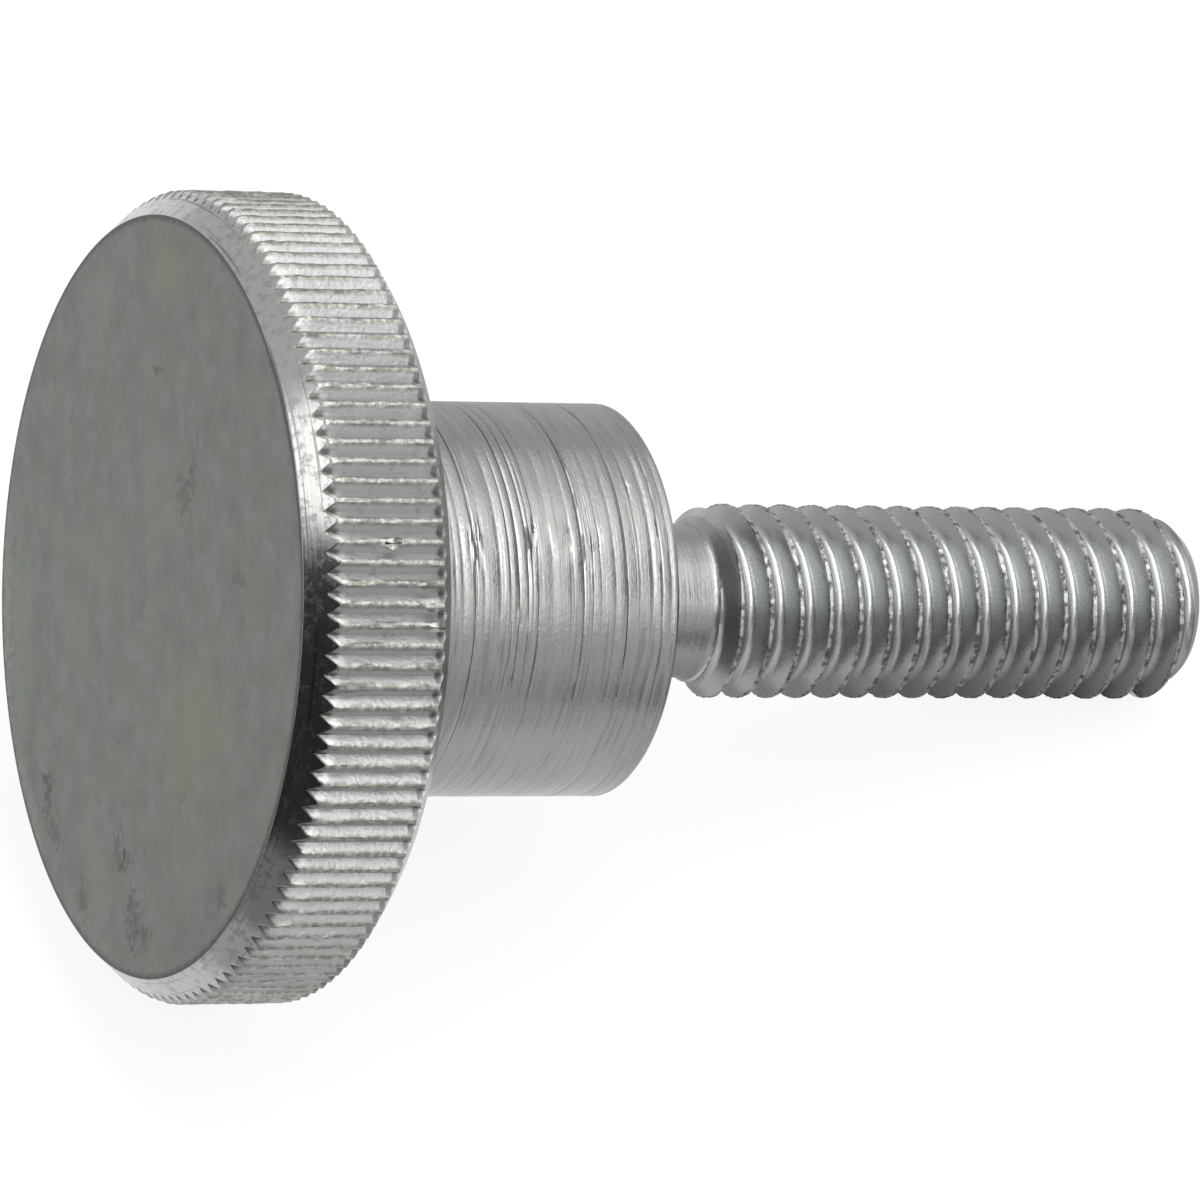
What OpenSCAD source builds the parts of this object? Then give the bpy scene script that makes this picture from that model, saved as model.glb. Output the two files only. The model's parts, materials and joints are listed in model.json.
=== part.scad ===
// Knurled thumb screw, high form: a knurled disc, a turned collar and a threaded shank, all one piece of steel.
// It is drawn along +Z from the face of the disc to the tip, then laid down as it comes to rest.

/* [Disc] */
// Diameter over the crests of the knurl
disc_d = 24; // [16:0.5:40]
// Thickness of the disc
disc_h = 4.6; // [3:0.1:8]
// Width of the front chamfer across the face
face_chamfer = 0.75; // [0.3:0.05:1.2]
// Depth of the front chamfer along the axis
face_chamfer_h = 0.85; // [0.3:0.05:1.2]
// Width of the back chamfer across the face
back_chamfer = 0.65; // [0.2:0.05:1]
// Depth of the back chamfer along the axis
back_chamfer_h = 0.5; // [0.2:0.05:1]

/* [Knurl] */
// Pitch of the straight knurl round the rim
knurl_pitch = 0.6; // [0.5:0.05:1.2]
// Width left flat on each crest
knurl_land = 0.1; // [0.05:0.01:0.2]
// Angle of the vee between two crests
knurl_angle = 90; // [70:1:110]

/* [Collar] */
// Diameter of the turned collar
collar_d = 11.8; // [8:0.1:15]
// Height of the whole head, from the face to the collar's seat
head_h = 14.6; // [10:0.1:25]
// Chamfer at the collar's seat
collar_chamfer = 0.15; // [0.05:0.05:0.5]

/* [Shank] */
// Length of the shank under the seat
shank_l = 19.5; // [12:0.5:60]
// Major diameter of the thread
thread_d = 5.85; // [4:0.05:8]
// Depth of the neck under the crests of the thread
neck_depth = 0.6; // [0.3:0.05:1]
// Length of the neck turned under the seat
neck_l = 3; // [1:0.1:6]
// Length of the cone from the neck to the thread
runout_l = 0.6; // [0.3:0.1:1.5]
// Width of the chamfer across the tip
tip_chamfer = 0.65; // [0.3:0.05:1]
// Depth of the tip's chamfer along the axis
tip_chamfer_h = 0.8; // [0.4:0.05:1.5]

/* [Hidden] */
$fn = 96;
// how far a cutting shape or a join runs past what it meets
overrun = 0.2;
disc_r = disc_d / 2;
collar_r = collar_d / 2;
thread_r = thread_d / 2;
neck_r = thread_r - neck_depth;
tip_r = thread_r - tip_chamfer;
total_l = head_h + shank_l;
neck_end = head_h + neck_l;
thread_start = neck_end + runout_l;
thread_end = total_l - tip_chamfer_h;
// teeth round the rim, and the depth of the vee that the pitch leaves room for
teeth = round(PI * disc_d / knurl_pitch);
knurl_depth = (knurl_pitch - knurl_land) / 2 / tan(knurl_angle / 2);
tooth_turn = 360 / teeth;
land_turn = tooth_turn * knurl_land / knurl_pitch;
// slopes of the two chamfers, in axial length for each millimetre of radius
face_slope = face_chamfer_h / face_chamfer;
back_slope = back_chamfer_h / back_chamfer;
// at rest the screw touches the floor with the disc's back corner and the tip's corner
rim_z = disc_h - back_chamfer_h;
lean = atan((disc_r - thread_r) / (thread_end - rim_z));
rest_height = disc_r * cos(lean) + rim_z * sin(lean);
// ends of the leaning screw along the floor
rest_back = -(disc_r - face_chamfer) * sin(lean);
rest_front = total_l * cos(lean) + tip_r * sin(lean);

function polar(r, turn) = [r * cos(turn), r * sin(turn)];

// outline of the knurl: two points for the land of each crest and one for the root beside it
function knurl_outline() = [
    for (i = [0 : teeth - 1], k = [0 : 2])
        let (turn = i * tooth_turn)
        k == 0 ? polar(disc_r, turn - land_turn / 2) :
        k == 1 ? polar(disc_r, turn + land_turn / 2) :
        polar(disc_r - knurl_depth, turn + tooth_turn / 2)
];

// disc blank with both chamfers carried past the rim, so that they cut the teeth to points
module disc_blank() {
    rotate_extrude()
        polygon([
            [0, 0],
            [disc_r - face_chamfer, 0],
            [disc_r + overrun, (face_chamfer + overrun) * face_slope],
            [disc_r + overrun, disc_h - (back_chamfer + overrun) * back_slope],
            [disc_r - back_chamfer, disc_h],
            [0, disc_h]
        ]);
}

module knurled_disc() {
    intersection() {
        linear_extrude(height = disc_h)
            polygon(knurl_outline());
        disc_blank();
    }
}

module collar() {
    rotate_extrude()
        polygon([
            [0, disc_h - overrun],
            [collar_r, disc_h - overrun],
            [collar_r, head_h - collar_chamfer],
            [collar_r - collar_chamfer, head_h],
            [0, head_h]
        ]);
}

// the thread is shown as a plain cylinder of its major diameter
module shank() {
    rotate_extrude()
        polygon([
            [0, head_h - overrun],
            [neck_r, head_h - overrun],
            [neck_r, neck_end],
            [thread_r, thread_start],
            [thread_r, thread_end],
            [tip_r, total_l],
            [0, total_l]
        ]);
}

module thumb_screw() {
    color([0.72, 0.73, 0.72])
        translate([-(rest_back + rest_front) / 2, 0, rest_height])
            rotate([0, 90 + lean, 0])
                union() {
                    knurled_disc();
                    collar();
                    shank();
                }
}

thumb_screw();
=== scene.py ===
# A knurled thumb screw lying on a pale floor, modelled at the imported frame's size and place.
import json
import math
import random

import bmesh
import bpy
from mathutils import Matrix, Vector


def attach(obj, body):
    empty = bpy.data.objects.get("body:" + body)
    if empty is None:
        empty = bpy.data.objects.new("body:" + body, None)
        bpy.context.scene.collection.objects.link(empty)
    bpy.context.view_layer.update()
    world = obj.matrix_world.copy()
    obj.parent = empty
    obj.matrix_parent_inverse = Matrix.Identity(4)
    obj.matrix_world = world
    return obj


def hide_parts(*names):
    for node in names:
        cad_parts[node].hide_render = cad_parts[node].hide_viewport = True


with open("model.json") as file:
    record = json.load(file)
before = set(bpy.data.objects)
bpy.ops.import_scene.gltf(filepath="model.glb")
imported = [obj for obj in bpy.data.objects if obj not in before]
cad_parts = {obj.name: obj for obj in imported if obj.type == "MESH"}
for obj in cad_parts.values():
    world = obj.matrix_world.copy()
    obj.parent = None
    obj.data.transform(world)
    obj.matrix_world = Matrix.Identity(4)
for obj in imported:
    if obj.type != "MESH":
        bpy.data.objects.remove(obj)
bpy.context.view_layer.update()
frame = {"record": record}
print("frame loaded")

# The screw is shaped upright in millimetres, with its face at height 0 and its tip up,
# and is laid down at the end.

metre = 1000  # millimetres
near = 0.004  # a vertex this close to a height or a radius counts as on it
skin = 0.1  # how far below a surface a vertex still counts as part of it
mergeDistance = 0.0005
sharpAngle = 39  # degrees between two faces, above which their edge is sharp
seeds = {"turning": 24, "teeth": 3, "nicks": 2, "toothEnds": 12, "collar": 5, "crest": 8}


def toObjectMode():
    if bpy.context.mode != "OBJECT":
        bpy.ops.object.mode_set(mode="OBJECT")
    bpy.ops.object.select_all(action="DESELECT")


def activate(*pieces):
    toObjectMode()
    for piece in pieces:
        piece.select_set(True)
    bpy.context.view_layer.objects.active = pieces[0]


def pick(piece, test):
    # selects the vertices that pass the test, and the edges and faces between them
    bpy.ops.mesh.select_all(action="DESELECT")
    mesh = bmesh.from_edit_mesh(piece.data)
    for vertex in mesh.verts:
        if test(vertex.co):
            vertex.select_set(True)
    mesh.select_flush(True)
    bmesh.update_edit_mesh(piece.data, loop_triangles=False)


def pickOpenEdges(piece, test):
    mesh = bmesh.from_edit_mesh(piece.data)
    bpy.ops.mesh.select_all(action="DESELECT")
    for edge in mesh.edges:
        if len(edge.link_faces) < 2 and all(test(vertex.co) for vertex in edge.verts):
            edge.select_set(True)
    bmesh.update_edit_mesh(piece.data)


def distanceFromAxis(point):
    return math.hypot(point.x, point.y)


def roundCorners(profile, segments):
    # profile holds (radius, height, rounding); each rounded corner becomes an arc
    points = [profile[0][:2]]
    for before, corner, after in zip(profile, profile[1:], profile[2:]):
        here = Vector(corner[:2])
        backward = (Vector(before[:2]) - here).normalized()
        forward = (Vector(after[:2]) - here).normalized()
        rounding = corner[2]
        if not rounding:
            points.append(tuple(here))
            continue
        half = backward.angle(forward) / 2
        centre = here + (backward + forward).normalized() * rounding / math.sin(half)
        start = here + backward * rounding / math.tan(half) - centre
        end = here + forward * rounding / math.tan(half) - centre
        for index in range(segments + 1):
            share = index / segments
            spoke = start.normalized().slerp(end.normalized(), share)
            points.append(tuple(centre + spoke * rounding))
    points.append(profile[-1][:2])
    return points


def drawProfile(name, points, closed=False):
    # a chain of edges in the XZ plane, extruded point by point from (radius, height) pairs
    toObjectMode()
    bpy.ops.mesh.primitive_plane_add(size=1)
    piece = bpy.context.object
    piece.name = piece.data.name = name
    bpy.ops.object.mode_set(mode="EDIT")
    bpy.ops.mesh.merge(type="CENTER")
    place = Vector((0, 0))
    for index, point in enumerate(points):
        step = Vector(point) - place
        place = Vector(point)
        move = {"value": (step.x, 0, step.y)}
        if index:
            bpy.ops.mesh.extrude_vertices_move(TRANSFORM_OT_translate=move)
        else:
            bpy.ops.transform.translate(**move)
    if closed:
        first, last = Vector(points[0]), Vector(points[-1])
        ends = (Vector((first.x, 0, first.y)), Vector((last.x, 0, last.y)))
        pick(piece, lambda point: min((point - end).length for end in ends) < near)
        bpy.ops.mesh.edge_face_add()
    return piece


def spinProfile(piece, columns):
    bpy.ops.mesh.select_all(action="SELECT")
    bpy.ops.mesh.spin(steps=columns, angle=2 * math.pi, center=(0, 0, 0), axis=(0, 0, 1))
    bpy.ops.mesh.select_all(action="SELECT")
    bpy.ops.mesh.remove_doubles(threshold=mergeDistance)
    bpy.ops.mesh.normals_make_consistent(inside=False)


def evenly(start, end, count):
    return [start + (end - start) * index / count for index in range(count + 1)]


def markShape(flat):
    # places across a turned groove, in half widths, with the share of its depth at each
    return ((-1, 0), (-flat, 1), (flat, 1), (1, 0))


# The disc, with its knurl pressed in column by column

rim = {
    "radius": 12.0,  # over the crests of the knurl
    "faceRadius": 11.25,
    "frontHeight": 0.9,  # where the front chamfer meets the knurl
    "backHeight": 4.1,  # where the back chamfer meets the knurl
    "thickness": 4.6,
    "backRadius": 11.35,
    "faceInset": 0.3,
    "joinRadius": 9.0,  # ring on the back where the collar's part is joined on
    "edgeRounding": 0.05,
    "chamferMarks": ((0.2, 0.008), (0.36, 0.006)),  # place across the chamfer, and depth
    "markWidth": 0.06,  # half, in shares of the chamfer
    "markFlat": 0.2,  # share of a mark that is its flat bottom
    "roundingSegments": 2,
    "rows": 12,  # of the mesh, along the teeth
    "chamferNormal": 0.5,  # faces that look more along the axis than this have the chamfer's finish
    "faceHeight": 0.02,  # faces below this height have the face's finish
}
knurl = {
    "teeth": 126,
    "columns": 10,  # of the mesh on each tooth
    "depth": 0.249,
    "shares": (0.02, 0.06, 0.3, 0.53, 0.77, 1.0),  # of the depth, from the crest to the root
    "endRounding": 0.045,  # how far the ends of the teeth are rounded over
    "endWidth": 0.08,
    "ringGap": 0.02,  # between the first two rings of the teeth
    "crestRoughness": 0.02,
    "flankRoughness": 0.008,
    "crestColumns": 2,  # columns that count as crest, from its middle
    "nicks": (  # angle, height, half angle, half height
        (223.3, 2.45, 1.2, 0.2),
        (229, 3.55, 0.7, 0.15),
        (231.5, 3.72, 0.7, 0.15),
        (234.5, 3.95, 0.7, 0.15),
        (210, 2.1, 0.6, 0.15),
        (247, 3.1, 0.8, 0.15),
    ),
    "nickDepth": 0.13,
    "endRaggedness": 0.026,
    "raggedColumns": 4,
    "raggedReach": (0.05, 0.4),  # before and after the front ends of the teeth
    "alongNormal": 0.5,  # share of each random move that follows the surface's normal
}


def onChamfer(place, depth):
    across = Vector((rim["radius"] - rim["faceRadius"], rim["frontHeight"]))
    inward = Vector((-across.y, across.x)).normalized() * depth
    return (rim["faceRadius"] + across.x * place + inward.x, across.y * place + inward.y, 0)


chamfer = []
for place, depth in rim["chamferMarks"]:
    for shift, share in markShape(rim["markFlat"]):
        chamfer.append(onChamfer(place + shift * rim["markWidth"], depth * share))
rimProfile = roundCorners(
    [
        (rim["faceRadius"] - rim["faceInset"], 0, 0),
        (rim["faceRadius"], 0, rim["edgeRounding"]),
        *chamfer,
        (rim["radius"], rim["frontHeight"], 0),
    ],
    rim["roundingSegments"],
)[:-1]
toothStart = rim["frontHeight"] + knurl["endWidth"]
toothRows = evenly(toothStart, rim["backHeight"], rim["rows"])
ringHeights = (rim["frontHeight"] - knurl["ringGap"], rim["frontHeight"], *toothRows)
lastRing = len(ringHeights) - 1
rimProfile += [(rim["radius"], height) for height in ringHeights[:-1]]
rimProfile += roundCorners(
    [
        (rim["radius"], rim["backHeight"], 0),
        (rim["backRadius"], rim["thickness"], rim["edgeRounding"]),
        (rim["joinRadius"], rim["thickness"], 0),
    ],
    rim["roundingSegments"],
)
screw = drawProfile("knurledThumbScrew", rimProfile)
rimColumns = knurl["teeth"] * knurl["columns"]
spinProfile(screw, rimColumns)


def columnInTooth(point):
    # 0 on a crest, and half the columns of a tooth in the root beside it
    column = round(math.atan2(point.y, point.x) / (2 * math.pi) * rimColumns)
    column %= knurl["columns"]
    return min(column, knurl["columns"] - column)


def apexOf(lowRadius, lowHeight, highRadius, highHeight):
    slope = (highHeight - lowHeight) / (highRadius - lowRadius)
    return highHeight - slope * highRadius


frontApex = apexOf(rim["faceRadius"], 0, rim["radius"], rim["frontHeight"])
backApex = apexOf(rim["backRadius"], rim["thickness"], rim["radius"], rim["backHeight"])
zones = [  # lowest and highest ring, how much deeper, and the apex of the cone to stay on
    (0, 0, 2 * knurl["endRounding"], frontApex),
    (1, 1, knurl["endRounding"], frontApex),
    (2, 2, 0, frontApex + knurl["endWidth"]),
    (3, lastRing - 1, 0, None),
    (lastRing, lastRing, 0, backApex),
]
for column, share in enumerate(knurl["shares"]):
    for lowest, highest, deeper, apex in zones:
        shrink = 1 - (knurl["depth"] * share + deeper) / rim["radius"]
        pick(
            screw,
            lambda point: ringHeights[lowest] - near < point.z < ringHeights[highest] + near
            and distanceFromAxis(point) > rim["radius"] - near
            and columnInTooth(point) == column,
        )
        if highest == 0:
            bpy.ops.transform.translate(value=(0, 0, knurl["ringGap"]))
        bpy.ops.transform.resize(
            value=(shrink, shrink, shrink if apex else 1), center_override=(0, 0, apex or 0)
        )
for column in range(len(knurl["shares"])):
    pick(
        screw,
        lambda point: toothStart < point.z < rim["backHeight"]
        and distanceFromAxis(point) > rim["radius"] - knurl["depth"] - near
        and columnInTooth(point) == column,
    )
    bpy.ops.transform.vertex_random(
        offset=knurl["crestRoughness" if column < knurl["crestColumns"] else "flankRoughness"],
        normal=knurl["alongNormal"],
        seed=seeds["teeth"] + column,
    )


def inPatches(point, patches):
    turn = math.degrees(math.atan2(point.y, point.x))
    return any(
        abs((turn - angle + 180) % 360 - 180) < halfAngle and abs(point.z - height) < halfHeight
        for angle, height, halfAngle, halfHeight in patches
    )


pick(
    screw,
    lambda point: inPatches(point, knurl["nicks"])
    and distanceFromAxis(point) > rim["radius"] - knurl["depth"] / 2,
)
bpy.ops.transform.vertex_random(
    offset=knurl["nickDepth"], normal=knurl["alongNormal"], seed=seeds["nicks"]
)
before, after = knurl["raggedReach"]
pick(
    screw,
    lambda point: rim["frontHeight"] - before < point.z < toothStart + after
    and distanceFromAxis(point) > rim["radius"] - knurl["depth"] - skin
    and columnInTooth(point) < knurl["raggedColumns"],
)
bpy.ops.transform.vertex_random(
    offset=knurl["endRaggedness"], normal=knurl["alongNormal"], seed=seeds["toothEnds"]
)
print("disc knurled")

# Collar, neck and shank, turned from one profile

stem = {
    "columns": 132,
    "collarRadius": 5.9,
    "headHeight": 14.6,
    "collarFillet": 0.2,
    "seatChamfer": 0.12,
    "seatRounding": 0.03,
    "joinRadius": 6.4,
    "clearance": 0.05,  # from a rounded corner to the first turned row
    "rowSpacing": 0.3,
    "closestRows": 0.012,
    "ripple": 0.003,
    "markRipple": 0.3,  # share of the ripple that is left in a mark
    "markFlat": 0.15,  # share of a mark that is its flat bottom
    "roughness": 0.0014,
    "alongNormal": 0.7,
    "neckRadius": 2.325,
    "neckFillet": 0.2,
    "runoutFillet": 0.3,
    "neckRipple": 0.002,
    "neckRows": 16,
    "neckMargin": 0.2,  # from the last turned row to the end of the neck
    "neckEnd": 17.6,
    "threadStart": 18.08,
    "threadEnd": 33.3,
    "tipRadius": 2.275,
    "tipInset": 0.5,
    "tipRounding": 0.25,
    "tipEndRounding": 0.12,
    "roundingSegments": 3,
    "length": 34.1,
    "mountHeight": 25.75,  # middle of the thread's mount
    "faded": ((222, 418), (232, 408), (262, 378)),  # angles between which the marks grow fainter
    "fading": {"factor": 0.2, "repeat": 2},
}
fineMarks = {"count": 22, "depths": (0.002, 0.008), "halfWidth": 0.045, "margin": 0.3}
toolMarks = [  # height, depth and half width of the deeper turned grooves on the collar
    (7.3, 0.012, 0.07),
    (7.55, 0.015, 0.08),
    (7.9, 0.027, 0.12),
    (8.22, 0.012, 0.06),
    (8.75, 0.029, 0.125),
    (9.08, 0.018, 0.08),
    (9.34, 0.026, 0.11),
    (9.64, 0.02, 0.09),
    (9.97, 0.02, 0.085),
    (10.46, 0.012, 0.07),
    (11.44, 0.025, 0.12),
    (11.76, 0.014, 0.07),
    (12.02, 0.01, 0.06),
    (12.84, 0.027, 0.12),
    (13.3, 0.01, 0.06),
    (13.72, 0.024, 0.1),
    (14.02, 0.024, 0.1),
    (14.3, 0.015, 0.06),
]
dents = {  # places on the collar that have been knocked: angle, height, half angle, half height
    "places": ((214, 8.1, 5, 0.5), (213, 10.4, 5, 0.75), (215, 12.0, 3, 0.35), (196, 13.2, 2, 0.2)),
    "depth": 0.026,
}
thread = {
    "radius": 2.925,
    "pitch": 1.0,
    "halfFlank": 30.0,
    "crestWidth": 0.13,
    "rootRadius": 2.4,
    "rootSegments": 6,
    "crestCorner": ((0.155, 0.04), (0.01, 0.02), (-0.008, 0.006), (-0.025, -0.009)),  # outward, aside
    "cornerDepth": 0.055,  # where the straight flank starts below the crest
    "crestRoughness": 0.022,
    "crestDepth": 0.01,  # how deep the roughened part of the crest goes
    "smoothStart": 0.2,  # length at the start of the thread whose crest stays smooth
    "alongNormal": 0.6,
    "steps": 100,
    "turns": 18,
    "firstGroove": 16.97,  # height of the groove's centre at angle 0
    "endReach": 0.6,  # half height that takes in one end of the groove
}

chance = random.Random(seeds["turning"])
collarStart = rim["thickness"] + stem["collarFillet"] + stem["clearance"]
collarEnd = stem["headHeight"] - stem["seatChamfer"] - stem["clearance"]
lowestMark = collarStart + fineMarks["margin"]
highestMark = collarEnd - fineMarks["margin"]
allMarks = toolMarks + [
    (chance.uniform(lowestMark, highestMark), chance.uniform(*fineMarks["depths"]), fineMarks["halfWidth"])
    for mark in range(fineMarks["count"])
]
rows = round((collarEnd - collarStart) / stem["rowSpacing"])
turnedRows = {  # how deep the collar is turned at each height
    height: chance.uniform(0, 1) * stem["ripple"] for height in evenly(collarStart, collarEnd, rows)
}
for height, depth, halfWidth in allMarks:
    for shift, share in markShape(stem["markFlat"]):
        ripple = chance.uniform(0, stem["markRipple"]) * stem["ripple"]
        turnedRows[height + shift * halfWidth] = depth * share + ripple
collar = []
for height in sorted(turnedRows):
    if not collar or height - collar[-1][1] > stem["closestRows"]:
        collar.append((stem["collarRadius"] - turnedRows[height], height, 0))
neckStart = stem["headHeight"] + stem["neckFillet"] + stem["clearance"]
neck = [
    (stem["neckRadius"] - chance.uniform(0, 1) * stem["neckRipple"], height, 0)
    for height in evenly(neckStart, stem["neckEnd"] - stem["neckMargin"], stem["neckRows"])
]
stemProfile = [
    (stem["joinRadius"], rim["thickness"], 0),
    (stem["collarRadius"], rim["thickness"], stem["collarFillet"]),
    *collar,
    (stem["collarRadius"], stem["headHeight"] - stem["seatChamfer"], stem["seatRounding"]),
    (stem["collarRadius"] - stem["seatChamfer"], stem["headHeight"], stem["seatRounding"]),
    (stem["neckRadius"], stem["headHeight"], stem["neckFillet"]),
    *neck,
    (stem["neckRadius"], stem["neckEnd"], stem["runoutFillet"]),
    (thread["radius"], stem["threadStart"], 0),
    (thread["radius"], stem["threadEnd"], stem["tipRounding"]),
    (stem["tipRadius"], stem["length"], stem["tipEndRounding"]),
    (stem["tipRadius"] - stem["tipInset"], stem["length"], 0),
]
shank = drawProfile("shank", roundCorners(stemProfile, stem["roundingSegments"]))
spinProfile(shank, stem["columns"])
for start, end in stem["faded"]:
    pick(
        shank,
        lambda point: collarStart < point.z < collarEnd
        and (math.degrees(math.atan2(point.y, point.x)) - start) % 360 < end - start,
    )
    bpy.ops.mesh.vertices_smooth(zaxis=False, **stem["fading"])
for offset, test in (
    (stem["roughness"], lambda point: collarStart < point.z < collarEnd),
    (dents["depth"], lambda point: inPatches(point, dents["places"])),
):
    pick(shank, lambda point: test(point) and distanceFromAxis(point) > stem["collarRadius"] - skin)
    bpy.ops.transform.vertex_random(offset=offset, normal=stem["alongNormal"], seed=seeds["collar"])
print("stem turned")

activate(screw, shank)
bpy.ops.object.join()
bpy.ops.object.mode_set(mode="EDIT")
bpy.ops.mesh.select_mode(type="EDGE")
pickOpenEdges(screw, lambda point: abs(point.z - rim["thickness"]) < near)
bpy.ops.mesh.bridge_edge_loops()
for height in (0, stem["length"]):
    pickOpenEdges(screw, lambda point: abs(point.z - height) < near)
    bpy.ops.mesh.edge_face_add()
bpy.ops.mesh.select_mode(type="VERT")
bpy.ops.mesh.select_all(action="SELECT")
bpy.ops.mesh.normals_make_consistent(inside=False)

# The thread is cut by a groove wound round the shank

slope = math.tan(math.radians(thread["halfFlank"]))
apexRadius = thread["radius"] - (thread["pitch"] - thread["crestWidth"]) / 2 / slope
rootArc = thread["rootRadius"] - apexRadius
arcCentre = thread["rootRadius"] + rootArc


def halfWidthAt(radius):
    return (radius - apexRadius) * slope


crestEdge = halfWidthAt(thread["radius"])
flankStart = thread["radius"] - thread["cornerDepth"]
side = [(thread["radius"] + outward, crestEdge + aside) for outward, aside in thread["crestCorner"]]
side.append((flankStart, halfWidthAt(flankStart)))
rootTurn = 90 - thread["halfFlank"]
spokes = [math.radians(turn) for turn in evenly(rootTurn, -rootTurn, thread["rootSegments"])]
root = [(arcCentre - rootArc * math.cos(spoke), rootArc * math.sin(spoke)) for spoke in spokes]
otherSide = [(radius, -width) for radius, width in reversed(side)]
groove = [(radius, thread["firstGroove"] + width) for radius, width in side + root + otherSide]
cutter = drawProfile("threadCutter", groove, closed=True)
toObjectMode()
activate(cutter)
winding = cutter.modifiers.new("winding", "SCREW")
winding.axis = "Z"
winding.angle = 2 * math.pi
winding.screw_offset = thread["pitch"]
winding.iterations = thread["turns"]
winding.steps = winding.render_steps = thread["steps"]
winding.use_merge_vertices = False
winding.use_smooth_shade = False
bpy.ops.object.modifier_apply(modifier=winding.name)
bpy.ops.object.mode_set(mode="EDIT")
bpy.ops.mesh.select_mode(type="EDGE")
for end in (thread["firstGroove"], thread["firstGroove"] + thread["turns"] * thread["pitch"]):
    pickOpenEdges(cutter, lambda point: abs(point.z - end) < thread["endReach"])
    bpy.ops.mesh.edge_face_add()
bpy.ops.mesh.select_mode(type="VERT")
bpy.ops.mesh.select_all(action="SELECT")
bpy.ops.mesh.normals_make_consistent(inside=False)

activate(screw)
cut = screw.modifiers.new("thread", "BOOLEAN")
cut.operation = "DIFFERENCE"
cut.solver = "MANIFOLD"
cut.object = cutter
bpy.ops.object.modifier_apply(modifier=cut.name)
activate(cutter)
bpy.ops.object.delete()
activate(screw)
bpy.ops.object.mode_set(mode="EDIT")
bpy.ops.mesh.select_all(action="SELECT")
bpy.ops.mesh.remove_doubles(threshold=mergeDistance)
pick(
    screw,
    lambda point: stem["threadStart"] + thread["smoothStart"] < point.z < stem["threadEnd"]
    and distanceFromAxis(point) > thread["radius"] - thread["crestDepth"],
)
bpy.ops.transform.vertex_random(
    offset=thread["crestRoughness"], normal=thread["alongNormal"], seed=seeds["crest"]
)
toObjectMode()
print("thread cut:", len(screw.data.polygons), "faces")

# Laid down on the edge of its disc and its tip, as the frame's mount for the thread says

mount = next(entry for entry in frame["record"]["mounts"] if entry["name"] == "thread")
along = Vector(mount["axis"]).normalized()
faceCentre = Vector(mount["pos_m"]) - along * stem["mountHeight"] / metre
sideways = Vector((0, 1, 0))
turned = Matrix((sideways.cross(along), sideways, along)).transposed()


class Paint:
    # one material and its nodes

    def __init__(self, name):
        self.material = bpy.data.materials.new(name)
        self.material.use_nodes = True
        self.nodes = self.material.node_tree.nodes
        self.links = self.material.node_tree.links

    def add(self, kind, settings=None, inputs=None, output=0):
        node = self.nodes.new(kind)
        for name, value in (settings or {}).items():
            if name == "stops":
                self.setStops(node.color_ramp, value)
            else:
                setattr(node, name, value)
        for name, value in (inputs or {}).items():
            if isinstance(value, Wire):
                self.links.new(value.socket, node.inputs[name])
            else:
                node.inputs[name].default_value = value
        return Wire(self, node.outputs[output])

    def maths(self, operation, first, second=0.0):
        return self.add("ShaderNodeMath", {"operation": operation}, {0: first, 1: second})

    def setStops(self, ramp, stops):
        while len(ramp.elements) < len(stops):
            ramp.elements.new(1)
        for element, (position, value) in zip(ramp.elements, stops):
            element.position = position
            element.color = (value, value, value, 1)


class Finish(Paint):
    # a metal finish, whose pattern is set out in the upright screw's own millimetres

    def __init__(self, name):
        super().__init__(name)
        backTurn = turned.transposed()
        self.place = self.add(
            "ShaderNodeMapping",
            {"vector_type": "POINT"},
            {
                "Vector": self.add("ShaderNodeTexCoord", output="Object"),
                "Location": -(backTurn @ faceCentre) * metre,
                "Rotation": backTurn.to_euler(),
                "Scale": (metre, metre, metre),
            },
        )
        self.x, self.y, self.height = (
            self.add("ShaderNodeSeparateXYZ", inputs={"Vector": self.place}, output=axis)
            for axis in "XYZ"
        )
        self.radius = (self.x * self.x + self.y * self.y) ** 0.5

    def noise(self, scale, vector=None, detail=2.0, roughness=0.5):
        return self.add(
            "ShaderNodeTexNoise",
            inputs={
                "Vector": vector or self.place,
                "Scale": scale,
                "Detail": detail,
                "Roughness": roughness,
            },
        )

    def ramp(self, value, stops):
        return self.add("ShaderNodeValToRGB", {"stops": stops}, {"Fac": value}, "Color")

    def stretched(self, across, along):
        # noise coordinates drawn out round the axis, for lines left by the lathe
        return self.add(
            "ShaderNodeCombineXYZ",
            inputs={"X": self.x * across, "Y": self.y * across, "Z": self.height * along},
        )

    def mixColours(self, share, first, second):
        # the sockets of a colour mix are its share at 0, its colours at 6 and 7, and its result at 2
        first, second = (
            (*colour, 1) if isinstance(colour, tuple) else colour for colour in (first, second)
        )
        return self.add("ShaderNodeMix", {"data_type": "RGBA"}, {0: share, 6: first, 7: second}, 2)

    def wear(self, colour, roughness, bumps, depth):
        bump = self.add(
            "ShaderNodeBump", inputs={"Height": bumps, "Distance": depth / metre, "Strength": 1.0}
        )
        shader = self.nodes["Principled BSDF"]
        shader.inputs["Metallic"].default_value = 1.0
        for name, wire in (("Base Color", colour), ("Roughness", roughness), ("Normal", bump)):
            self.links.new(wire.socket, shader.inputs[name])
        return self.material


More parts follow.
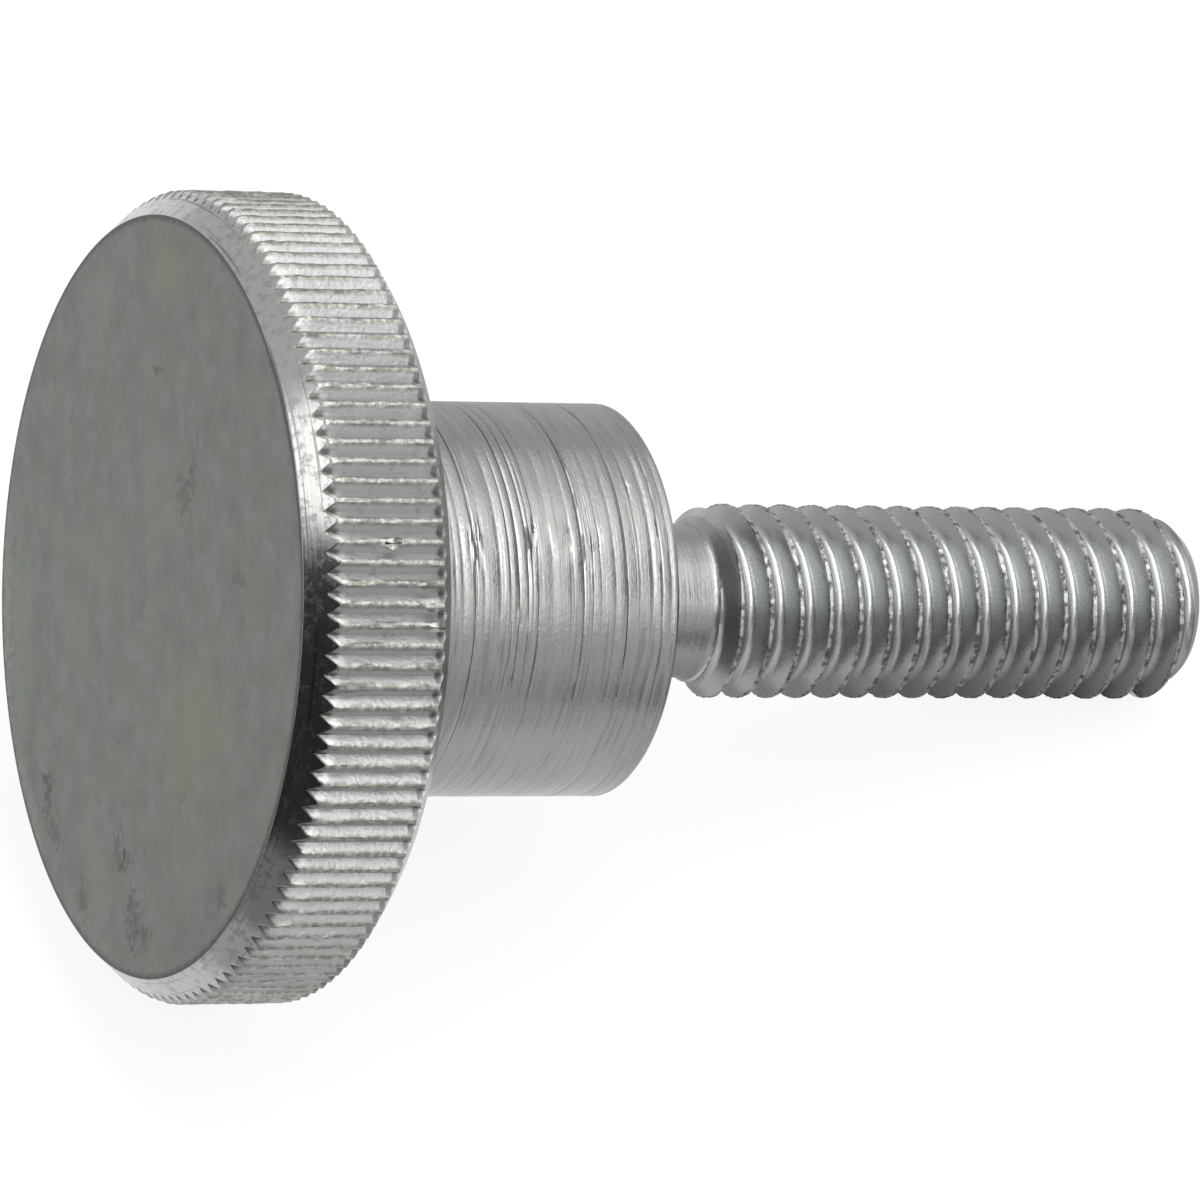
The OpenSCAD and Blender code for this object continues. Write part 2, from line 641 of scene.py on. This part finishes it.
class Wire:
    # a socket, on which sums are written as in plain Python

    def __init__(self, paint, socket):
        self.paint = paint
        self.socket = socket

    def __add__(self, other):
        return self.paint.maths("ADD", self, other)

    __radd__ = __add__

    def __sub__(self, other):
        return self.paint.maths("SUBTRACT", self, other)

    def __rsub__(self, other):
        return self.paint.maths("SUBTRACT", other, self)

    def __mul__(self, other):
        return self.paint.maths("MULTIPLY", self, other)

    __rmul__ = __mul__

    def __truediv__(self, other):
        return self.paint.maths("DIVIDE", self, other)

    def __pow__(self, other):
        return self.paint.maths("POWER", self, other)

    def maximum(self, other):
        return self.paint.maths("MAXIMUM", self, other)


faceMarks = {  # angle and radius of the middle, turn, half length, half width, strength
    "dark": (
        (14.7, 9.31, 141, 0.2, 0.34, 1.0),
        (12.0, 9.42, 141, 0.3, 0.28, 1.0),
        (6.7, 9.94, 92, 1.2, 0.35, 0.6),
        (335.8, 7.82, 130, 0.7, 0.5, 0.6),
        (331.5, 8.0, 120, 0.35, 0.35, 0.8),
        (326.0, 9.51, 141, 0.9, 0.55, 0.75),
        (321.0, 9.95, 141, 0.3, 0.4, 0.8),
        (348.4, 10.2, 125, 0.6, 0.35, 0.7),
        (145.7, 6.71, 141, 0.2, 0.4, 0.7),
        (182.6, 4.02, 141, 0.75, 0.6, 0.55),
        (182.2, 5.08, 152, 1.1, 0.35, 0.4),
        (225.8, 6.69, 141, 0.35, 0.5, 0.5),
        (288.0, 10.4, 110, 0.4, 0.4, 0.6),
    ),
    "olive": (
        (277.3, 5.3, 141, 2.4, 2.6, 0.9),
        (182.6, 3.4, 141, 0.9, 1.0, 0.5),
        (149.5, 9.68, 141, 1.3, 1.3, 0.8),
        (70.0, 3.5, 100, 1.8, 1.4, 0.5),
        (300.0, 8.2, 120, 1.6, 1.5, 0.5),
    ),
    "green": (
        (52.2, 9.9, 141, 1.6, 1.0, 0.9),
        (36.0, 10.2, 130, 2.0, 0.8, 0.9),
        (345.0, 8.9, 110, 1.9, 1.4, 0.6),
        (118.0, 9.6, 141, 1.3, 1.1, 0.8),
        (150.0, 3.4, 141, 1.8, 1.4, 0.5),
        (40.0, 5.5, 141, 2.2, 1.2, 0.5),
    ),
    # the pale arcs lie along the rim, where the camera sees the face's left edge, and are a painted
    # highlight
    "pale": (
        (50.0, 10.85, 140, 4.5, 0.35, 0.9),
        (18.0, 10.8, 108, 2.5, 0.3, 0.8),
        (345.0, 10.8, 75, 2.0, 0.3, 0.5),
    ),
}

satin = {
    "patches": ((0.137, 0.151, 0.134), (0.192, 0.192, 0.191)),
    "tint": (0.182, 0.178, 0.146),
    "olive": (0.2, 0.196, 0.148),
    "green": (0.19, 0.212, 0.178),
    # colour of the painted highlight along the rim
    "pale": (0.25, 0.258, 0.23),
    # the nick colour also paints shade along the face's edge
    "nickAndEdgeShade": (0.06, 0.065, 0.06),
    "markStrengths": (("olive", 0.7), ("green", 0.7), ("pale", 0.6)),
    "roughness": 0.4,
    "bumpDepth": 0.003,
}


def satinFace():
    finish = Finish("satinFace")
    cloud = finish.noise(0.8, detail=8, roughness=0.74)
    grain = finish.noise(5, detail=4, roughness=0.75)
    ragged = finish.noise(3.2, detail=5, roughness=0.7) * 6 - 3

    def marks(kind):
        # 1 inside the ragged oval marks of one kind, and 0 outside them
        total = 0.0
        for angle, radius, turn, length, width, strength in faceMarks[kind]:
            turn, angle = math.radians(turn), math.radians(angle)
            across = finish.x - radius * math.cos(angle)
            up = finish.y - radius * math.sin(angle)
            far = (across * math.cos(turn) + up * math.sin(turn)) / length
            aside = (up * math.cos(turn) - across * math.sin(turn)) / width
            reach = (far * far + aside * aside) ** 0.5 + ragged
            total = finish.ramp(reach, ((0.45, 1.0), (1.0, 0.0))) * strength + total
        return total

    patches = finish.ramp(cloud, ((0.41, 0.0), (0.59, 1.0)))
    colour = finish.mixColours(patches, *satin["patches"])
    tint = finish.ramp(finish.noise(0.5, detail=5, roughness=0.7), ((0.46, 0.0), (0.6, 1.0)))
    colour = finish.mixColours(tint * 0.5, colour, satin["tint"])
    # the pale marks are a painted highlight along the rim; the olive and green ones are the face's own
    # tone
    for kind, strength in satin["markStrengths"]:
        colour = finish.mixColours(marks(kind) * strength, colour, satin[kind])
    nicks = finish.ramp(finish.noise(1.1, detail=6, roughness=0.75), ((0.34, 1.0), (0.37, 0.0)))
    nicks = nicks * 0.5 + marks("dark")
    # a dark ring painted along the edge of the face is painted shade; the nicks are the face's own marks
    edge = finish.ramp(finish.radius / rim["radius"] + ragged * 0.006, ((0.92, 0.0), (0.932, 1.0)))
    colour = finish.mixColours((nicks * 0.8).maximum(edge) * 0.8, colour, satin["nickAndEdgeShade"])
    return finish.wear(colour, satin["roughness"] + cloud * 0.08, grain - nicks * 2, satin["bumpDepth"])


bright = {
    "base": (0.43, 0.431, 0.42),
    "line": (0.21, 0.21, 0.2),
    "stain": (0.2, 0.2, 0.192),
    "roughness": 0.13,
    "bumpDepth": 0.005,
}


def turnedChamfer():
    finish = Finish("turnedChamfer")
    rings = finish.noise(1, finish.stretched(0.12, 9), detail=2)
    grain = finish.noise(4, detail=4, roughness=0.7)
    stains = finish.ramp(finish.noise(3, detail=5, roughness=0.7), ((0.5, 0.0), (0.6, 1.0)))
    lines = finish.ramp(rings, ((0.36, 1.0), (0.4, 0.0)))
    colour = finish.mixColours(lines, bright["base"], bright["line"])
    colour = finish.mixColours(stains * 0.45, colour, bright["stain"])
    roughness = bright["roughness"] + rings * 0.1 + stains * 0.12
    return finish.wear(colour, roughness, rings + grain * 0.3, bright["bumpDepth"])


pressed = {
    "grain": ((0.374, 0.38, 0.382), (0.468, 0.47, 0.466)),
    "crest": (0.4, 0.392, 0.366),
    "pit": (0.19, 0.187, 0.163),
    # painted shade in the grooves at the back ends of the teeth
    "backEndShade": (0.12, 0.12, 0.112),
    # painted shade, deep in the grooves at the front ends of the teeth and in a band on one flank of each
    # tooth
    "paintedShade": (0.13, 0.13, 0.11),
    "heightSpan": 5,  # millimetres that its ramps of heights cover
    "roughness": 0.36,
    "bumpDepth": 0.02,
}


def knurledRim():
    finish = Finish("knurledRim")
    distance = finish.radius / rim["radius"]
    place = finish.height / pressed["heightSpan"]
    grain = finish.noise(7, detail=3, roughness=0.65)
    specks = finish.ramp(finish.noise(3.2, detail=4, roughness=0.7), ((0.34, 1.0), (0.42, 0.0)))
    crest = finish.ramp(distance, ((0.9935, 0.0), (0.997, 1.0)))
    pits = finish.ramp(finish.noise(5.5, detail=2), ((0.46, 1.0), (0.56, 0.0)))
    colour = finish.mixColours(grain, *pressed["grain"])
    colour = finish.mixColours(crest, colour, pressed["crest"])
    colour = finish.mixColours((specks * 0.35).maximum(crest * pits * 0.75), colour, pressed["pit"])
    # painted shade: the grooves, not the crests, are darkened at the back ends of the teeth
    backEndShades = finish.ramp(place, ((0.792, 0.0), (0.803, 1.0), (0.83, 1.0), (0.84, 0.0)))
    colour = finish.mixColours(backEndShades * (1 - crest) * 0.7, colour, pressed["backEndShade"])
    # painted shade deep in the grooves at the front ends of the teeth
    frontEndShades = finish.ramp(place, ((0.115, 0.0), (0.125, 1.0), (0.165, 1.0), (0.195, 0.0)))
    deep = finish.ramp(distance, ((0.984, 1.0), (0.99, 0.0)))
    # painted shade in a band on the same flank of every tooth, just below its crest
    turn = finish.maths("ARCTAN2", finish.y, finish.x) * (knurl["teeth"] / (2 * math.pi))
    phase = finish.maths("FRACT", turn) + grain * 0.12
    flankShade = finish.ramp(phase, ((0.13, 0.0), (0.16, 1.0), (0.25, 1.0), (0.33, 0.0)))
    paintedShades = (frontEndShades * deep * 0.85).maximum(flankShade * 0.22)
    colour = finish.mixColours(paintedShades, colour, pressed["paintedShade"])
    roughness = pressed["roughness"] - crest * 0.1 + grain * 0.12
    return finish.wear(colour, roughness, grain, pressed["bumpDepth"])


lathed = {
    # the darker colour falls where the lathe lines dip, as painted shade in their grooves
    "lines": ((0.225, 0.226, 0.217), (0.37, 0.37, 0.362)),
    "score": (0.15, 0.15, 0.142),
    "roughness": 0.16,
    "bumpDepth": 0.014,
}


def turnedCollar():
    finish = Finish("turnedCollar")
    lines = finish.noise(1, finish.stretched(0.12, 9), detail=4, roughness=0.6)
    grain = finish.noise(7, detail=4, roughness=0.6)
    broad = finish.noise(0.35, detail=3)
    scored = finish.ramp(finish.noise(1, finish.stretched(0.3, 8), detail=3), ((0.34, 1.0), (0.42, 0.0)))
    # darker where the lathe lines dip, which is painted shade in their grooves, mixed with the metal's own
    # broad and grainy tone
    colour = finish.mixColours(lines * 0.6 + broad * 0.2 + grain * 0.3, *lathed["lines"])
    colour = finish.mixColours(scored * 0.4, colour, lathed["score"])
    roughness = lathed["roughness"] + grain * 0.12
    return finish.wear(colour, roughness, lines + grain * 0.9, lathed["bumpDepth"])


rolled = {
    "grain": ((0.405, 0.416, 0.417), (0.485, 0.496, 0.495)),
    # painted shade on the flank of each groove that faces the head
    "headSideShade": (0.2, 0.208, 0.212),  # of each groove, on the flank that faces the head
    "speck": (0.13, 0.13, 0.12),
    "radiusSpan": 3,  # millimetres that its ramp of radii covers
    "roughness": 0.23,
    "bumpDepth": 0.006,
}


def rolledThread():
    finish = Finish("rolledThread")
    grain = finish.noise(8, detail=3, roughness=0.6)
    specks = finish.ramp(finish.noise(4, detail=4, roughness=0.7), ((0.42, 1.0), (0.54, 0.0)))
    crest = finish.ramp(finish.radius / rolled["radiusSpan"], ((0.955, 0.0), (0.972, 1.0)))
    colour = finish.mixColours(grain, *rolled["grain"])
    turn = finish.maths("ARCTAN2", finish.y, finish.x) / (2 * math.pi)
    start = 1 - thread["firstGroove"] / thread["pitch"] % 1
    place = finish.maths("FRACT", finish.height / thread["pitch"] - turn + start)
    # painted shade: the flank of each groove that faces the head is darkened
    headSideShade = finish.ramp(place, ((0.06, 0.0), (0.18, 1.0), (0.4, 1.0), (0.45, 0.0)))
    colour = finish.mixColours(headSideShade * 0.45, colour, rolled["headSideShade"])
    colour = finish.mixColours(crest * specks, colour, rolled["speck"])
    roughness = rolled["roughness"] + grain * 0.1 + crest * 0.1
    return finish.wear(colour, roughness, grain, rolled["bumpDepth"])


def finishFor(face):
    height = face.center.z
    if height < rim["faceHeight"] and distanceFromAxis(face.center) < rim["faceRadius"]:
        return "face"
    if height > stem["neckEnd"] + stem["clearance"]:
        return "thread"
    if height > rim["backHeight"] + near:
        return "collar"
    if abs(face.normal.z) > rim["chamferNormal"]:
        return "chamfer"
    return "knurl"


finishes = {
    "face": satinFace(),
    "chamfer": turnedChamfer(),
    "knurl": knurledRim(),
    "collar": turnedCollar(),
    "thread": rolledThread(),
}
screw.data.materials.clear()
for finish in finishes.values():
    screw.data.materials.append(finish)
slots = list(finishes)
for face in screw.data.polygons:
    face.material_index = slots.index(finishFor(face))
activate(screw)
bpy.ops.object.shade_smooth_by_angle(angle=math.radians(sharpAngle))
screw.matrix_world = Matrix.Translation(faceCentre) @ turned.to_4x4() @ Matrix.Scale(1 / metre, 4)
bpy.ops.object.transform_apply(location=True, rotation=True, scale=True)
weighted = screw.modifiers.new("weighted", "WEIGHTED_NORMAL")
weighted.keep_sharp = True
bpy.ops.object.modifier_apply(modifier=weighted.name)
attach(screw, "root")
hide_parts("thumb_screw")
print("screw laid down and finished")

# Floor, soft light and camera

studio = {
    "floorSize": 6.0,
    "floorShade": 0.9,
    "worldShade": 0.77,
    "whiteness": 0.88,  # share of the floor that shows plain white to the camera
}
lamps = (  # name, direction, distance, width along the screw, length round it, brightness
    ("keyLight", (0.682, -0.24, 0.69), 0.6, 0.34, 1.5, 0.55),
    ("keyCore", (0.665, -0.346, 0.662), 0.64, 0.36, 0.75, 0.65),
    ("stripLight", (0.236, -0.269, 0.934), 0.56, 0.18, 1.4, 3.2),
    ("stripCore", (0.187, -0.415, 0.894), 0.5, 0.16, 0.3, 2.5),
    ("topLight", (0.0, 0.15, 1.0), 0.68, 0.16, 0.3, 2.0),
    ("chamferLight", (-0.57, -0.02, 0.82), 0.6, 0.2, 0.3, 1.7),
)
# The cards show only in reflections. Those lying on the floor are painted shade on the floor round and
# under the screw; the standing ones are dark cards that darken reflections.
cards = (  # name, middle, turn in degrees, width, height, shade
    ("sideCard", (0.29, -0.075, 0.14), (90, 0, 75), 0.3, 0.11, 0.08),
    ("chamferCard", (-0.038, -0.032, 0.03), (90, 0, -50), 0.04, 0.06, 0.03),
    ("chamferFloorCard", (-0.03, -0.025, 0.0004), (0, 0, -50), 0.034, 0.022, 0.2),
    ("nearFloorCard", (-0.0306, -0.0199, 0.0002), (0, 0, -50), 0.044, 0.028, 0.42),
    ("frontCard", (0.01, -0.053, 0.0003), (0, 0, 0), 0.07, 0.074, 0.46),
    ("frontWallCard", (-0.038, -0.23, 0.084), (90, 0, -12), 0.13, 0.13, 0.2),
    ("underCard", (0.0186, -0.0168, 0.0006), (0, 0, 0), 0.03, 0.0206, 0.25),
    ("belowCard", (0.0186, -0.0003, 0.0006), (0, 0, 0), 0.03, 0.0124, 0.42),
    ("neckCard", (0.0021, -0.007, 0.0007), (0, 0, 0), 0.005, 0.026, 0.62),
    ("backFloorCard", (0.058, 0.088, 0.0003), (0, 0, 0), 0.12, 0.15, 0.42),
)
view = {
    "lens": 305.9,
    "distance": 0.3064,
    "aimHeight": 14.78,  # along the screw, from its face
    "azimuth": -19.312,
    "elevation": 42.421,
    "clipStart": 0.01,
}


def studioMaterial(name, shade, whiteness):
    # matt, and plain white by the whiteness to the camera and in what reflects it
    paint = Paint(name)
    camera, glossy, transmission = (
        paint.add("ShaderNodeLightPath", output=f"Is {kind} Ray")
        for kind in ("Camera", "Glossy", "Transmission")
    )
    matt = paint.add("ShaderNodeBsdfDiffuse", inputs={"Color": (shade, shade, shade, 1)})
    white = paint.add("ShaderNodeEmission")
    share = (camera + glossy + transmission) * whiteness
    mix = paint.add("ShaderNodeMixShader", inputs={0: share, 1: matt, 2: white})
    paint.nodes.remove(paint.nodes["Principled BSDF"])
    paint.links.new(mix.socket, paint.nodes["Material Output"].inputs["Surface"])
    return paint.material


toObjectMode()
bpy.ops.mesh.primitive_plane_add(size=studio["floorSize"])
floor = bpy.context.object
floor.name = "floor"
floor.data.materials.append(studioMaterial("floor", studio["floorShade"], studio["whiteness"]))

for name, place, turn, width, height, shade in cards:
    toObjectMode()
    bpy.ops.mesh.primitive_plane_add(
        size=1, location=place, rotation=[math.radians(angle) for angle in turn]
    )
    card = bpy.context.object
    card.name = name
    card.scale = (width, height, 1)
    card.data.materials.append(studioMaterial(name, shade, 0))
    card.visible_camera = card.visible_diffuse = card.visible_shadow = False

middle = faceCentre + along * view["aimHeight"] / metre
for name, direction, distance, width, length, brightness in lamps:
    data = bpy.data.lights.new(name, "AREA")
    data.shape = "RECTANGLE"
    data.size, data.size_y = width, length
    data.energy = brightness * math.pi * width * length
    lamp = bpy.data.objects.new(name, data)
    bpy.context.collection.objects.link(lamp)
    backward = Vector(direction).normalized()
    across = backward.cross(along).normalized()
    lamp.matrix_world = Matrix.Translation(middle + backward * distance) @ (
        Matrix((across.cross(backward), across, backward)).transposed().to_4x4()
    )
    lamp.visible_camera = False

world = bpy.data.worlds.new("studio")
bpy.context.scene.world = world
world.use_nodes = True
background = world.node_tree.nodes["Background"]
background.inputs["Color"].default_value = (studio["worldShade"],) * 3 + (1,)
bpy.context.scene.view_settings.view_transform = "Standard"

camera = bpy.data.objects.new("camera", bpy.data.cameras.new("camera"))
bpy.context.collection.objects.link(camera)
camera.data.lens = view["lens"]
camera.data.clip_start = view["clipStart"]
azimuth, elevation = math.radians(view["azimuth"]), math.radians(view["elevation"])
back = Vector(
    (
        math.sin(azimuth) * math.cos(elevation),
        -math.cos(azimuth) * math.cos(elevation),
        math.sin(elevation),
    )
)
camera.location = middle + back * view["distance"]
camera.rotation_euler = back.to_track_quat("Z", "Y").to_euler()
bpy.context.scene.camera = camera

print("scene ready")
